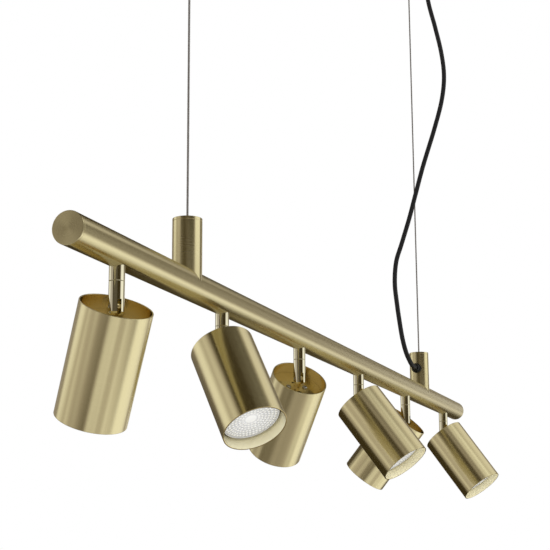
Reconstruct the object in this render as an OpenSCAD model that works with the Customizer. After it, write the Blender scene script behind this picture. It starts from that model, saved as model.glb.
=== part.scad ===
// Linear island pendant. A round brass bar hangs by two steel cables from the ceiling.
// Under the bar are six arms that swivel, each with an open tube shade that tilts on it.
// Frame: origin on the ceiling midway between the cables, +X along the bar towards the
// power cord, +Y across the bar, +Z up. Lengths in millimetres, angles in degrees.

/* [Overall] */
// Length of the bar over both end caps
bar_len = 1150; // [1100:10:1600]
// Distance between the two suspension cables
cable_pitch = 750; // [620:10:960]
// Height of the ceiling above the axis of the bar
drop = 620; // [560:10:1500]

/* [Bar] */
// Outer diameter of the bar
bar_d = 25; // [23:0.5:32]
// Wall of the bar
bar_wall = 1.5; // [1:0.1:2]
// From the end of the bar to the nearest arm
end_margin = 75; // [30:5:120]
// Thickness of an end cap's disc
cap_t = 2; // [1:0.5:4]
// Length of an end cap's plug inside the bar
cap_plug = 8; // [4:1:16]

/* [Stems] */
// Outer diameter of a stem
stem_d = 25; // [22:0.5:30]
// Wall of a stem
stem_wall = 1.5; // [1:0.1:2]
// Height of a stem's top above the axis of the bar
stem_h = 55; // [50:1:80]
// Thickness of the web that closes a stem near the bar
web_t = 5; // [3:0.5:8]
// Outer diameter of the hollow nipple that joins a stem to the bar
nipple_d = 9.9; // [8:0.1:9.9]
// Wall of the nipple
nipple_wall = 1.7; // [1:0.1:2]

/* [Suspension] */
// Diameter of a steel cable
cable_d = 2; // [1:0.1:2.5]
// Diameter of a crimped ferrule
ferrule_d = 5; // [4:0.5:7]
// Length of a crimped ferrule
ferrule_len = 8; // [6:1:10]
// Outer diameter of a cable grip
grip_d = 12; // [10:0.5:14]
// Length of a cable grip below its cover
grip_len = 12; // [8:1:20]
// Diameter of a cable grip's threaded neck
grip_neck_d = 7.9; // [6:0.1:9]
// Outer diameter of the release sleeve under a cable grip
sleeve_d = 7; // [5:0.5:8]
// Length of the release sleeve
sleeve_len = 4; // [2:0.5:6]

/* [Ceiling] */
// Outer diameter of the ceiling rose
rose_d = 100; // [90:1:140]
// Height of the rose and of the anchor cup
cover_h = 25; // [22:1:40]
// Wall of the rose and of the anchor cup
cover_wall = 1.2; // [0.8:0.1:2]
// Outer diameter of the anchor cup
cup_d = 34; // [32:1:60]
// Length of the rose's bracket
bracket_len = 84; // [78:1:88]
// Width of the rose's bracket
bracket_w = 18; // [14:1:20]
// Sheet thickness of the rose's bracket
bracket_t = 2; // [1.5:0.1:3]
// Distance between the bracket's two screw holes
bracket_holes = 60; // [50:1:66]
// Diameter of the bracket's screw holes
bracket_hole_d = 4.8; // [3:0.1:6]
// Distance between the anchor's two screw holes
anchor_holes = 20; // [18:0.5:21]
// Diameter of the anchor's screw holes
anchor_hole_d = 3.6; // [3:0.1:4]
// From the right cable to the power cord's bushing
bushing_offset = 25; // [18:1:36]

/* [Power cord] */
// Outer diameter of the power cord
cord_d = 6; // [4:0.5:8]
// Height of the cord's gland above the axis of the bar
gland_h = 33; // [30:1:36]
// Outer diameter of the gland
gland_d = 12.6; // [10:0.1:15]
// How far the gland stands out from the stem
gland_len = 8.5; // [6:0.5:12]
// Diameter of the gland's threaded neck
gland_neck_d = 7.9; // [6:0.1:9]

/* [Arms] */
// Outer diameter of an arm and of its collar
arm_d = 12; // [11:0.5:14]
// From the bar's underside to the seam between the collar and the arm
collar_len = 10.5; // [6:0.5:16]
// Gap of the seam
seam = 0.2; // [0.1:0.1:0.5]
// From the axis of the bar to the tilt axis of a shade
pivot_drop = 42; // [40:0.5:60]
// From the tilt axis to the arm's lower end
fork_tip = 5.5; // [4:0.5:7]
// Chamfer round the arm's lower end
tip_chamfer = 1.2; // [0.4:0.1:2]
// Width of the slot in the arm's lower end
slot_w = 3; // [2:0.1:5]
// Diameter of the arm's journal in the collar
journal_d = 7; // [6:0.1:8]
// Diameter of the wire channel in an arm
channel_d = 4; // [3:0.1:5]
// Diameter of a pivot screw
pivot_d = 3; // [2:0.1:4]
// Diameter of a pivot screw's head
pivot_head_d = 5; // [4:0.1:6]

/* [Shades] */
// Outer diameter of a shade
shade_d = 56; // [54:0.5:70]
// Length of a shade
shade_len = 90; // [84:1:140]
// Wall of a shade
shade_wall = 1.2; // [0.6:0.1:2]
// Height of a shade's upper rim above its tilt axis
rim_rise = 0.5; // [0:0.1:1]
// Depth of the inner plate below the upper rim
plate_depth = 11; // [10:0.5:16]
// Thickness of the inner plate
plate_t = 2; // [1:0.5:4]
// Width of the lug on the inner plate
lug_w = 8; // [6:0.5:11]

/* [Lamps] */
// Diameter of a lamp's face
lens_d = 50; // [40:1:50]
// Depth of a lamp's face inside the shade's mouth
lens_recess = 10; // [4:0.5:14]
// Diameter of a lampholder
holder_d = 26; // [24:1:30]
// Height of a lampholder
holder_h = 14; // [12:0.5:20]
// Space between the inner plate and the lampholder
holder_gap = 3; // [2:0.5:6]

/* [Rest angles] */
// Swivel of arm 1, counted from +X towards +Y
swivel_1 = 51; // [-175:1:175]
// Swivel of arm 2
swivel_2 = -124; // [-175:1:175]
// Swivel of arm 3
swivel_3 = 46; // [-175:1:175]
// Swivel of arm 4
swivel_4 = -94; // [-175:1:175]
// Swivel of arm 5
swivel_5 = 82; // [-175:1:175]
// Swivel of arm 6
swivel_6 = -95; // [-175:1:175]
// Tilt of shade 1 from straight down
tilt_1 = 29; // [0:1:70]
// Tilt of shade 2
tilt_2 = 34; // [0:1:70]
// Tilt of shade 3
tilt_3 = 42; // [0:1:70]
// Tilt of shade 4
tilt_4 = 37; // [0:1:70]
// Tilt of shade 5
tilt_5 = 41; // [0:1:70]
// Tilt of shade 6
tilt_6 = 36; // [0:1:70]

/* [Hidden] */
$fn = 64;

fit = 0.05;        // radial clearance of a running or threaded fit
saddle_fit = 0.05; // gap under a saddle that sits on a tube
eps = 0.01;        // overlap of a cutting tool with the face that it opens
swivels = [swivel_1, swivel_2, swivel_3, swivel_4, swivel_5, swivel_6];
tilts = [tilt_1, tilt_2, tilt_3, tilt_4, tilt_5, tilt_6];

// Places along the bar, and heights
lamp_pitch = (bar_len - 2 * end_margin) / 5;
cable_x = cable_pitch / 2;
axis_z = -drop;

// Radii of the tubes
bar_r = bar_d / 2;
bore_r = bar_r - bar_wall;
stem_r = stem_d / 2;
stem_bore_r = stem_r - stem_wall;
nipple_r = nipple_d / 2;

// Nuts inside the bar sit on saddle washers. Depths are counted from the bar's axis.
nut_af = 13;
nut_r = nut_af / 2 / cos(30);
nut_t = 2.3;
nut_root = 0.5;
washer_edge = 1.1;
washer_depth = sqrt(bore_r * bore_r - nut_r * nut_r) - washer_edge;
nut_depth = washer_depth - nut_t;
neck_depth = nut_depth - 0.2;
web_z = bar_r + 2;

// Swivel joint: the journal turns in the collar and a ring nut holds it up
neck_r = nipple_r;
neck_hole_r = neck_r + fit;
journal_r = journal_d / 2;
ring_gap = 0.2;
ring_t = 2;
ring_depth = neck_depth - ring_gap;
journal_depth = ring_depth - ring_t - 0.8;
seam_depth = bar_r + collar_len;

// Tilt joint
slot_root = pivot_drop - lug_w / 2 - 1;
tip_depth = pivot_drop + fork_tip;
lug_gap = 0.1;
lug_t = slot_w - 2 * lug_gap;
head_sink = 1.4;
head_t = 1;

// Heights inside a head, counted from the tilt axis
plate_z = rim_rise - plate_depth;
holder_top = plate_z - plate_t - holder_gap;
holder_z = holder_top - holder_h;
mouth_z = rim_rise - shade_len;
lens_z = mouth_z + lens_recess;
lamp_gap = 0.3;
lamp_base = holder_z - lamp_gap;
plate_fit = 0.05;

// Lamp with two pins, 10 mm apart as the standard says
pin_pitch = 10;
pin_r = 1.5;
pin_head_r = 2.4;
pin_len = 7;
pin_head_len = 3;
pin_fit = 0.3;
lamp_wall = 1.4;
lens_t = 2.5;
lens_lip = 0.5;
lens_fit = 0.1;
neck_lamp_r = 12.5;
post_y = 9;
post_r = 2.5;
post_screw_r = 1.5;
post_screw_head_r = 2.6;
vent_len = 5;
vent_w = 2;

// Cable ends
cable_r = cable_d / 2;
cable_fit = 0.15;
ferrule_fit = 0.05;
stem_plug = 4;
stem_cap_t = 2.5;
ferrule_top = stem_h - stem_cap_t - stem_plug;
cable_low = ferrule_top - ferrule_len - 1.5;
cable_high = -5;

// Ceiling pieces
cover_r = rose_d / 2;
cup_r = cup_d / 2;
grip_neck_r = grip_neck_d / 2;
grip_nut_r = 7.5;
bridge_z = -13;
bridge_half = 16;
bushing_neck_r = cord_d / 2 + 1.9;
bushing_flange = 3;
bushing_neck = 3;
bushing_nut_t = 2;
block_len = 34;
block_w = 14;
block_h = 12;
block_y = 27;
block_poles = 3;
block_screw_r = 1.55;
block_screw_len = 5;

// Wires
loom_r = 1.5;
lead_r = 1.2;
loom_y = bore_r - loom_r - 1.5;
loom_z = 1 + loom_r - journal_depth;
lead_end = slot_root - 2;

// Centre line of the power cord, from its gland up to the bushing in the rose
cord_route = [
  [354, 0, -587], [348, 0, -587], [340, 1, -585], [332, 2, -580], [326, 4, -572],
  [323, 6, -562], [324, 9, -548], [329, 13, -528], [334, 17, -505], [340, 21, -475],
  [346, 20, -445], [350, 13, -420], [355, 3, -385], [359, -6, -350], [362, -17, -310],
  [365, -33, -260], [367, -44, -220], [369, -48, -185], [371, -45, -150], [373, -37, -110],
  [374, -29, -75],
  [375, -25, -47], [375, -25, -36], [375, -25, -28]
];
cord_sides = 10;
cord_step = 15;

brass = [0.74, 0.67, 0.42];
polished = [0.83, 0.77, 0.55];
steel = [0.62, 0.62, 0.62];
black = [0.07, 0.07, 0.08];
ceramic = [0.92, 0.90, 0.86];
copper = [0.75, 0.42, 0.25];

// Curve through the route's points, with rings about cord_step apart
function unit(v) = v / norm(v);
function spline(a, b, c, d, t) =
  ((2 * b) + (c - a) * t + (2 * a - 5 * b + 4 * c - d) * t * t
   + (3 * b - a - 3 * c + d) * t * t * t) / 2;
function steps(a, b, step) = max(1, round(norm(b - a) / step));
function smooth(p, step) = let (last = len(p) - 1) [
  p[0],
  for (i = [0:last - 1]) let (n = steps(p[i], p[i + 1], step))
    for (k = [1:n]) k == n ? p[i + 1]
      : spline(p[max(i - 1, 0)], p[i], p[i + 1], p[min(i + 2, last)], k / n)
];
function heading(p, i) = unit(p[min(i + 1, len(p) - 1)] - p[max(i - 1, 0)]);
function ring(p, u, v, r, sides) =
  [for (k = [0:sides - 1]) p + r * (cos(360 * k / sides) * u + sin(360 * k / sides) * v)];

// Tube along the points p. No part of it runs along the direction aside.
module tube_along(p, r, sides, aside) {
  last = len(p) - 1;
  rings = [for (i = [0:last])
    let (dir = heading(p, i), u = unit(cross(dir, aside))) each ring(p[i], u, cross(dir, u), r, sides)];
  low = [for (k = [sides - 1:-1:0]) k];
  high = [for (k = [0:sides - 1]) last * sides + k];
  walls = [for (i = [0:last - 1]) for (k = [0:sides - 1]) let (m = (k + 1) % sides)
    each [[i * sides + k, i * sides + m, (i + 1) * sides + k],
          [i * sides + m, (i + 1) * sides + m, (i + 1) * sides + k]]];
  polyhedron(rings, concat([low], walls, [high]));
}

// Places
function lamp_x(i) = (i - 3.5) * lamp_pitch;
module on_bar(x) { translate([x, 0, axis_z]) children(); }
module at_arm(i) { on_bar(lamp_x(i)) rotate([0, 0, swivels[i - 1]]) children(); }
module at_head(i) {
  at_arm(i) translate([0, 0, -pivot_drop]) rotate([0, -tilts[i - 1], 0]) children();
}
module along_x(len, r) { rotate([0, 90, 0]) cylinder(h = len, r = r); }
module across_y(len, r) { rotate([90, 0, 0]) cylinder(h = len, r = r, center = true); }
module pipe(h, r, bore) {
  difference() {
    cylinder(h = h, r = r);
    translate([0, 0, -eps]) cylinder(h = h + 2 * eps, r = bore);
  }
}
module hex_nut(h, r, bore) {
  difference() {
    cylinder(h = h, r = r, $fn = 6);
    translate([0, 0, -eps]) cylinder(h = h + 2 * eps, r = bore);
  }
}

// The bar and its ends
module bar_tube() {
  tube_len = bar_len - 2 * cap_t;
  color(brass) on_bar(0) difference() {
    translate([-tube_len / 2, 0, 0]) along_x(tube_len, bar_r);
    translate([-tube_len / 2 - eps, 0, 0]) along_x(tube_len + 2 * eps, bore_r);
    for (i = [1:6]) translate([lamp_x(i), 0, -bar_r - 1])
      cylinder(h = bar_r, r = neck_hole_r);
    for (side = [-1, 1]) translate([side * cable_x, 0, 1])
      cylinder(h = bar_r, r = nipple_r + fit);
  }
}

module end_cap(side) {
  color(brass) on_bar(0) mirror([side < 0 ? 1 : 0, 0, 0])
    translate([bar_len / 2 - cap_t - cap_plug, 0, 0]) {
      along_x(cap_plug, bore_r - fit);
      translate([cap_plug, 0, 0]) along_x(cap_t, bar_r);
    }
}

// A stem is a tube cut to the bar's round top, with a web near its foot
module stem() {
  difference() {
    pipe(stem_h - stem_cap_t, stem_r, stem_bore_r);
    translate([-stem_d, 0, 0]) along_x(2 * stem_d, bar_r + saddle_fit);
  }
  translate([0, 0, web_z]) pipe(web_t, stem_bore_r + eps, nipple_r + fit);
}

module left_stem() { color(brass) on_bar(-cable_x) stem(); }

module right_stem() {
  color(brass) on_bar(cable_x) difference() {
    stem();
    translate([-stem_r - 1, 0, gland_h]) along_x(stem_r, gland_neck_d / 2 + fit);
  }
}

module stem_caps() {
  color(brass) for (side = [-1, 1]) on_bar(side * cable_x) difference() {
    union() {
      translate([0, 0, stem_h - stem_cap_t]) cylinder(h = stem_cap_t, r = stem_r);
      translate([0, 0, ferrule_top]) cylinder(h = stem_plug + eps, r = stem_bore_r - fit);
    }
    translate([0, 0, ferrule_top - 1]) cylinder(h = stem_h, r = cable_r + cable_fit);
  }
}

module stem_nipples() {
  color(steel) for (side = [-1, 1]) on_bar(side * cable_x)
    translate([0, 0, neck_depth])
      pipe(web_z + web_t + 1 - neck_depth, nipple_r, nipple_r - nipple_wall);
}

// One nut with its saddle washer, under the stem at side 1 or over the arm at side -1
module bar_nut(side) {
  mirror([0, 0, side < 0 ? 1 : 0]) {
    difference() {
      intersection() {
        translate([0, 0, washer_depth]) cylinder(h = bore_r, r = nut_r);
        translate([-bar_d, 0, 0]) along_x(2 * bar_d, bore_r - saddle_fit);
      }
      cylinder(h = 2 * bar_r, r = neck_hole_r);
    }
    translate([0, 0, nut_depth]) hex_nut(nut_t, nut_r, neck_hole_r);
    // Inside both, so that nut and washer stay one piece in a bar of any size
    translate([0, 0, washer_depth - nut_root])
      pipe(2 * nut_root, nut_af / 2 - nut_root, neck_hole_r + nut_root);
  }
}

module bar_nuts() {
  color(steel) {
    for (i = [1:6]) on_bar(lamp_x(i)) bar_nut(-1);
    for (side = [-1, 1]) on_bar(side * cable_x) bar_nut(1);
  }
}

// Fixed bush of each swivel: a sleeve below the bar and a threaded neck inside it
module swivel_collars() {
  color(polished) for (i = [1:6]) on_bar(lamp_x(i)) difference() {
    union() {
      difference() {
        translate([0, 0, -seam_depth]) cylinder(h = seam_depth - bar_r / 2, r = arm_d / 2);
        translate([-arm_d, 0, 0]) along_x(2 * arm_d, bar_r + saddle_fit);
      }
      translate([0, 0, -bar_r - 2]) cylinder(h = bar_r + 2 - neck_depth, r = neck_r);
    }
    translate([0, 0, -2 * seam_depth]) cylinder(h = 2 * seam_depth, r = journal_r + fit);
  }
}

module bar_wiring() {
  loom_end = lamp_x(6);
  color(black) {
    on_bar(0) translate([-loom_end, loom_y, loom_z]) along_x(2 * loom_end, loom_r);
    for (i = [1:6]) on_bar(lamp_x(i)) {
      translate([0, loom_y / 2, loom_z]) across_y(loom_y, lead_r);
      translate([0, 0, -lead_end]) cylinder(h = lead_end + loom_z + lead_r / 2, r = lead_r);
    }
    on_bar(cable_x) {
      translate([0, loom_y / 2, loom_z]) across_y(loom_y, lead_r);
      translate([0, 0, loom_z - lead_r / 2]) cylinder(h = gland_h - loom_z, r = lead_r);
      translate([gland_inner_x(), 0, gland_h - lead_r / 2 - 0.1])
        along_x(-gland_inner_x() + lead_r / 2, lead_r - 0.1);
    }
  }
}

// Suspension
module steel_cable(side) {
  translate([side * cable_x, 0, axis_z + cable_low])
    cylinder(h = drop - cable_low + cable_high, r = cable_r);
}
module left_cable() { color(steel) steel_cable(-1); }
module right_cable() { color(steel) steel_cable(1); }

module cable_ferrules() {
  color(steel) for (side = [-1, 1]) on_bar(side * cable_x)
    translate([0, 0, ferrule_top - ferrule_len])
      pipe(ferrule_len, ferrule_d / 2, cable_r + ferrule_fit);
}

// A grip holds its cover from below and screws into the bracket above
module cable_grip(side) {
  translate([side * cable_x, 0, 0]) difference() {
    union() {
      translate([0, 0, -cover_h - grip_len]) cylinder(h = grip_len, r = grip_d / 2);
      translate([0, 0, -cover_h - eps]) cylinder(h = cover_h - 6, r = grip_neck_r);
      translate([0, 0, -cover_h - grip_len - sleeve_len])
        cylinder(h = sleeve_len + eps, r = sleeve_d / 2);
    }
    translate([0, 0, -2 * cover_h]) cylinder(h = 2 * cover_h, r = cable_r + cable_fit);
  }
}

module left_cable_grip() { color(brass) cable_grip(-1); }

module right_cable_grip() {
  color(brass) cable_grip(1);
  color(steel) translate([cable_x, 0, bridge_z + bracket_t])
    hex_nut(4, grip_nut_r, grip_neck_r + fit);
}

module cover(r) {
  difference() {
    translate([0, 0, -cover_h]) cylinder(h = cover_h, r = r);
    translate([0, 0, -cover_h + cover_wall]) cylinder(h = cover_h, r = r - cover_wall);
    translate([0, 0, -cover_h - 1]) cylinder(h = cover_h, r = grip_neck_r + fit);
  }
}

module anchor_cup() { color(brass) translate([-cable_x, 0, 0]) cover(cup_r); }

module anchor_bracket() {
  plate_r = cup_r - cover_wall - 1;
  color(steel) translate([-cable_x, 0, 0]) difference() {
    union() {
      translate([0, 0, -3]) cylinder(h = 3, r = plate_r);
      translate([0, 0, -14]) cylinder(h = 12, r = grip_neck_r + 2.5);
    }
    translate([0, 0, -20]) cylinder(h = 21, r = grip_neck_r + fit);
    for (s = [-1, 1]) translate([s * anchor_holes / 2, 0, -20])
      cylinder(h = 21, r = anchor_hole_d / 2);
  }
}

module ceiling_rose() {
  color(brass) translate([cable_x, 0, 0]) difference() {
    cover(cover_r);
    translate([0, -bushing_offset, -cover_h - 1])
      cylinder(h = cover_wall + 2, r = bushing_neck_r + fit);
    translate([0, block_y, -cover_h - 1])
      cylinder(h = cover_wall + 2, r = block_screw_r + fit);
  }
}

// Strip with two flat feet at the ceiling and a lowered bridge that holds the grip
module rose_bracket() {
  foot = bracket_len / 2 - bridge_half + bracket_t;
  color(steel) translate([cable_x, 0, 0]) difference() {
    union() for (s = [0, 1]) mirror([s, 0, 0]) {
      translate([bridge_half - bracket_t, -bracket_w / 2, -bracket_t])
        cube([foot, bracket_w, bracket_t]);
      translate([bridge_half - bracket_t, -bracket_w / 2, bridge_z])
        cube([bracket_t, bracket_w, -bridge_z]);
      translate([-eps, -bracket_w / 2, bridge_z]) cube([bridge_half, bracket_w, bracket_t]);
    }
    translate([0, 0, bridge_z - 1]) cylinder(h = bracket_t + 2, r = grip_neck_r + fit);
    for (s = [-1, 1]) translate([s * bracket_holes / 2, 0, -bracket_t - 1])
      cylinder(h = bracket_t + 2, r = bracket_hole_d / 2);
  }
}

module rose_cord_bushing() {
  color(black) translate([cable_x, -bushing_offset, 0]) {
    translate([0, 0, -cover_h - bushing_flange])
      cylinder(h = bushing_flange, r = bushing_neck_r + 2);
    translate([0, 0, -cover_h - eps])
      cylinder(h = cover_wall + bushing_neck, r = bushing_neck_r);
    translate([0, 0, -cover_h + cover_wall])
      hex_nut(bushing_nut_t, bushing_neck_r + 2.5, bushing_neck_r + fit);
  }
}

// Sheath of the cord's end inside the rose, led round the grip to the terminal block
module rose_wiring() {
  up = -cover_h + cover_wall + bushing_neck;
  start = -bushing_offset;
  side = 14;
  end_x = block_len / 4;
  end_y = block_y - block_w / 2;
  color(black) translate([cable_x, 0, 0]) tube_along([
    [0, start, up], [0, start, up + 2.2], [1.2, start + 0.7, up + 3.9],
    [4, start + 2.7, up + 4.6], [side - 5.5, start + 6.8, up + 4.6],
    [side - 1.7, start + 13, up + 4.4], [side, start + 21, up + 4],
    [side, end_y - 15, up + 3.4], [end_x + 4.3, end_y - 9, up + 2.2],
    [end_x + 1.9, end_y - 4.6, up + 0.8], [end_x, end_y - 2, up], [end_x, end_y, up]
  ], loom_r, 8, [1, 0, 0]);
}

// Block on the rose's floor, with the screw that holds it from below
module terminal_block() {
  pole = block_len / block_poles;
  translate([cable_x, block_y, -cover_h]) {
    color(ceramic) translate([0, 0, cover_wall]) difference() {
      translate([-block_len / 2, -block_w / 2, 0]) cube([block_len, block_w, block_h]);
      for (k = [1:block_poles]) translate([(k - (block_poles + 1) / 2) * pole, 0, 0])
        for (s = [-1, 1]) translate([0, s * block_w / 4, block_h - 4])
          cylinder(h = 5, r = 1.8);
      translate([0, 0, -1]) cylinder(h = block_screw_len + 1.2, r = block_screw_r + fit);
    }
    color(steel) {
      translate([0, 0, -1.2]) cylinder(h = 1.2, r = 1.8 * block_screw_r);
      translate([0, 0, -eps])
        cylinder(h = cover_wall + block_screw_len + eps, r = block_screw_r);
    }
  }
}

// Gland with a saddle that sits on the stem, and its nut inside
function gland_inner_x() = -stem_bore_r + 5.5;
module cord_gland() {
  gland_r = gland_d / 2;
  neck = gland_neck_d / 2;
  nut_face = sqrt(stem_bore_r * stem_bore_r - gland_r * gland_r);
  color(black) on_bar(cable_x) translate([0, 0, gland_h]) {
    difference() {
      union() {
        translate([-stem_r - gland_len / 2, 0, 0]) along_x(stem_r, gland_r);
        translate([-stem_r - gland_len, 0, 0]) rotate([0, 90, 0])
          cylinder(h = gland_len / 2 + eps, r1 = cord_d / 2 + 1.2, r2 = gland_r - 1);
      }
      translate([0, 0, -stem_d]) cylinder(h = 2 * stem_d, r = stem_r + saddle_fit);
    }
    translate([-stem_r - 2, 0, 0]) along_x(stem_r + 2 + gland_inner_x(), neck);
    translate([-nut_face, 0, 0]) rotate([0, 90, 0]) hex_nut(2.5, gland_r, neck + fit);
  }
}

module power_cord() {
  color(black) tube_along(smooth(cord_route, cord_step), cord_d / 2, cord_sides, [0, 1, 0]);
}

// Turning arm with its ring nut, in the frame of the bar's axis
module arm(i) {
  r = arm_d / 2;
  color(polished) at_arm(i) {
    difference() {
      union() {
        translate([0, 0, -tip_depth]) cylinder(h = tip_chamfer, r1 = r - tip_chamfer, r2 = r);
        translate([0, 0, -tip_depth + tip_chamfer])
          cylinder(h = tip_depth - tip_chamfer - seam_depth - seam, r = r);
        translate([0, 0, -seam_depth - 1])
          cylinder(h = seam_depth + 1 - journal_depth, r = journal_r);
      }
      translate([0, 0, -slot_root - eps]) cylinder(h = slot_root, r = channel_d / 2);
      translate([-r - 1, -slot_w / 2, -tip_depth - 1])
        cube([arm_d + 2, slot_w, tip_depth + 1 - slot_root]);
      translate([0, 0, -pivot_drop]) across_y(arm_d + 2, pivot_d / 2 + fit);
      translate([0, -r + head_sink - arm_d / 2, -pivot_drop])
        across_y(arm_d, pivot_head_d / 2 + 0.1);
    }
    translate([0, 0, -ring_depth]) pipe(ring_t, neck_r, journal_r + fit);
  }
}

module pivot_screw(i) {
  r = arm_d / 2;
  shank = arm_d - head_sink - 0.5;
  color(steel) at_arm(i) translate([0, 0, -pivot_drop]) difference() {
    union() {
      translate([0, -r + head_sink + shank / 2, 0]) across_y(shank, pivot_d / 2);
      translate([0, -r + head_sink - head_t / 2, 0]) across_y(head_t, pivot_head_d / 2);
    }
    translate([-pivot_head_d, -r, -0.4]) cube([2 * pivot_head_d, head_sink - 0.5, 0.8]);
  }
}

// Everything below tilts with its shade, in the frame of the tilt axis
module shade(i) {
  color(brass) at_head(i) translate([0, 0, mouth_z])
    pipe(shade_len, shade_d / 2, shade_d / 2 - shade_wall);
}

module head_plate(i) {
  plate_r = shade_d / 2 - shade_wall - plate_fit;
  color(brass) at_head(i) difference() {
    union() {
      translate([0, 0, plate_z - plate_t]) cylinder(h = plate_t, r = plate_r);
      translate([-lug_w / 2, -lug_t / 2, plate_z - eps])
        cube([lug_w, lug_t, -plate_z + eps]);
      across_y(lug_t, lug_w / 2);
    }
    across_y(lug_t + 2, pivot_d / 2 + fit);
    for (s = [-1, 1]) {
      translate([0, s * post_y, plate_z - plate_t - 1])
        cylinder(h = plate_t + 2, r = post_screw_r + 0.1);
      translate([s * (lug_w / 2 + 4) - vent_w / 2, -vent_len / 2, plate_z - plate_t - 1])
        cube([vent_w, vent_len, plate_t + 2]);
    }
  }
}

// Two-hole holder on two posts, with the screws that come through the plate
module lampholder(i) {
  post_h = holder_gap + 4;
  screw_len = plate_t + holder_gap + 2;
  color(ceramic) at_head(i) {
    difference() {
      union() {
        translate([0, 0, holder_z]) cylinder(h = holder_h, r = holder_d / 2);
        for (s = [-1, 1]) translate([0, s * post_y, plate_z - plate_t - post_h])
          cylinder(h = post_h, r = post_r);
      }
      for (s = [-1, 1]) {
        translate([s * pin_pitch / 2, 0, holder_z - 1])
          cylinder(h = pin_len + 2, r = pin_head_r + pin_fit);
        translate([0, s * post_y, plate_z - plate_t - screw_len])
          cylinder(h = screw_len + 1, r = post_screw_r + fit);
      }
    }
    color(steel) for (s = [-1, 1]) translate([0, s * post_y, plate_z]) {
      translate([0, 0, -screw_len]) cylinder(h = screw_len + eps, r = post_screw_r);
      cylinder(h = 1.6, r = post_screw_head_r);
    }
  }
}

// Reflector lamp: a cup with two headed pins, and the lens set in its mouth
module bulb(i) {
  r = lens_d / 2;
  back = (lamp_base - lens_z) * 0.75 + lens_z;
  lens_back = lens_z + lens_lip + lens_t;
  color(ceramic) at_head(i) {
    difference() {
      rotate_extrude() polygon([
        [0, lens_z], [r, lens_z], [r, lens_back + 2], [neck_lamp_r + 1.5, back],
        [neck_lamp_r, lamp_base], [0, lamp_base]
      ]);
      translate([0, 0, lens_z - 1])
        cylinder(h = 1 + lens_lip + lens_t, r = r - lamp_wall / 2);
      rotate_extrude() polygon([
        [0, lens_back - eps], [r - lamp_wall - 1, lens_back - eps],
        [r - lamp_wall - 1, lens_back + 1], [neck_lamp_r - lamp_wall + 1, back - 2],
        [0, back - 2]
      ]);
    }
    for (s = [-1, 1]) translate([s * pin_pitch / 2, 0, lamp_base - eps]) {
      cylinder(h = pin_len, r = pin_r);
      translate([0, 0, pin_len - pin_head_len]) cylinder(h = pin_head_len, r = pin_head_r);
    }
    translate([0, 0, lens_z + lens_lip])
      cylinder(h = lens_t - lens_fit, r = r - lamp_wall / 2 - lens_fit);
  }
}

bar_tube();
end_cap(-1);  // left_end_cap
end_cap(1);  // right_end_cap
left_stem();
right_stem();
stem_caps();
stem_nipples();
bar_nuts();
swivel_collars();
bar_wiring();
left_cable();
right_cable();
cable_ferrules();
left_cable_grip();
right_cable_grip();
anchor_cup();
anchor_bracket();
ceiling_rose();
rose_bracket();
rose_cord_bushing();
rose_wiring();
terminal_block();
cord_gland();
power_cord();
arm(1);  // arm_1
arm(2);  // arm_2
arm(3);  // arm_3
arm(4);  // arm_4
arm(5);  // arm_5
arm(6);  // arm_6
pivot_screw(1);  // pivot_screw_1
pivot_screw(2);  // pivot_screw_2
pivot_screw(3);  // pivot_screw_3
pivot_screw(4);  // pivot_screw_4
pivot_screw(5);  // pivot_screw_5
pivot_screw(6);  // pivot_screw_6
shade(1);  // shade_1
shade(2);  // shade_2
shade(3);  // shade_3
shade(4);  // shade_4
shade(5);  // shade_5
shade(6);  // shade_6
head_plate(1);  // head_plate_1
head_plate(2);  // head_plate_2
head_plate(3);  // head_plate_3
head_plate(4);  // head_plate_4
head_plate(5);  // head_plate_5
head_plate(6);  // head_plate_6
lampholder(1);  // lampholder_1
lampholder(2);  // lampholder_2
lampholder(3);  // lampholder_3
lampholder(4);  // lampholder_4
lampholder(5);  // lampholder_5
lampholder(6);  // lampholder_6
bulb(1);  // bulb_1
bulb(2);  // bulb_2
bulb(3);  // bulb_3
bulb(4);  // bulb_4
bulb(5);  // bulb_5
bulb(6);  // bulb_6
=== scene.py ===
# Linear island pendant: the looks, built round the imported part.
# A brushed brass bar hangs by two steel ropes, with six tube shades that swivel and tilt.
# Places are in metres in the part's frame: origin on the ceiling midway between the ropes,
# +X along the bar towards the mains cord, +Y across the bar, +Z up. A piece's own shape is
# drawn in millimetres and scaled when it is put in its place.
import math

import bmesh
import bpy
from mathutils import Matrix, Vector


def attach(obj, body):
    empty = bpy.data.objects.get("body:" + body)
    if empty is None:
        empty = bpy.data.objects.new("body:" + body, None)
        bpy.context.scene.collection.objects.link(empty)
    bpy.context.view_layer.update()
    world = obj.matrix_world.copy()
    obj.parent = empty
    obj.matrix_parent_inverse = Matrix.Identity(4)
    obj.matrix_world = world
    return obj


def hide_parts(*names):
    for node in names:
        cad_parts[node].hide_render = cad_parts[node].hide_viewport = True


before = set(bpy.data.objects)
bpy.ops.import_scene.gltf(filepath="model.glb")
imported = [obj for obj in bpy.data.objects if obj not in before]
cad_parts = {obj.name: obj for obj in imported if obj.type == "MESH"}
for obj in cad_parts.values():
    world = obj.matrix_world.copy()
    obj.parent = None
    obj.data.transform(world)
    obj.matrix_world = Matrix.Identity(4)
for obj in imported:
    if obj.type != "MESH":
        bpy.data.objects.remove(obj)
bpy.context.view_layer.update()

MM = 0.001
FULL_TURN = 2 * math.pi

# Places in metres, and the lamps' angles in degrees from +X and from straight down
BAR_HEIGHT = -0.620
BAR_END = 0.575
ROPE_X = 0.375
ROPES = [-ROPE_X, ROPE_X]
LAMP_X = [-0.5, -0.3, -0.1, 0.1, 0.3, 0.5]
SWIVEL_DEG = [51, -124, 46, -94, 82, -95]
TILT_DEG = [29, 34, 42, 37, 41, 36]

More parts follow.
